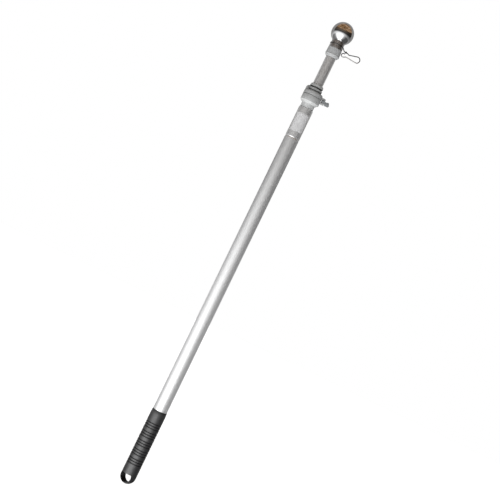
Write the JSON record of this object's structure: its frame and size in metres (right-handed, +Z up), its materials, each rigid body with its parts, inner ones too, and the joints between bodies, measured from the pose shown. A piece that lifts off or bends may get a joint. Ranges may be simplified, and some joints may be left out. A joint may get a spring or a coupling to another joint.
{
  "type": "telescopic hand-held flagpole",
  "caption": "Hand-held telescopic flagpole, pushed together: ribbed rubber grip with a hang hole, plain tube, clamp collar with lever, thin top tube, wire flag clip and polished ball.",
  "frame": {"origin": "on the pole's axis in the plain band of the grip, between the hang hole and the first groove", "axes": "+Z up the pole to the ball, +X to the side of the wire clip and the lever, -Y to the viewer"},
  "size_m": [0.0684, 0.04, 0.8884],
  "materials": {
    "grip_rubber": "matt moulded",
    "tube_metal": "satin anodised",
    "label_foil": "silver film, blank",
    "collar_plastic": "moulded grey",
    "pin_steel": "plain",
    "lever_plastic": "moulded grey",
    "washer_rubber": "matt",
    "plug_plastic": "matt",
    "cap_plastic": "moulded grey",
    "chrome": "polished",
    "dark_wire": "blackened",
    "clip_wire": "bright drawn wire"
  },
  "bodies": {
    "lower": {"grip": "grip_rubber", "outer_tube": "tube_metal", "label": "label_foil", "clamp_collar": "collar_plastic", "lever_pin": "pin_steel", "collar_washer": "washer_rubber"},
    "lever": {"clamp_lever": "lever_plastic"},
    "middle": {"middle_tube": "tube_metal", "middle_plug": "plug_plastic", "middle_cap": "cap_plastic"},
    "top": {"top_tube": "tube_metal", "top_plug": "plug_plastic", "upper_collar": "collar_plastic", "finial_neck": "chrome", "ball_finial": "chrome"},
    "clip": {"clip_ring": "clip_wire", "clip_coil": "dark_wire", "flag_clip": "clip_wire"}
  },
  "joints": [
    {"name": "middle_slide", "type": "slide", "parent": "lower", "child": "middle", "axis": [0, 0, 1], "range_m": [0, 0.5]},
    {"name": "top_slide", "type": "slide", "parent": "middle", "child": "top", "axis": [0, 0, 1], "range_m": [0, 0.5]},
    {"name": "lever_hinge", "type": "hinge", "parent": "lower", "child": "lever", "pos_m": [0.0209, 0, 0.72265], "axis": [0, 0, 1], "range_deg": [0, 95]},
    {"name": "clip_swivel", "type": "hinge", "parent": "top", "child": "clip", "pos_m": [0, 0, 0.822], "axis": [0, 0, 1], "continuous": true}
  ]
}
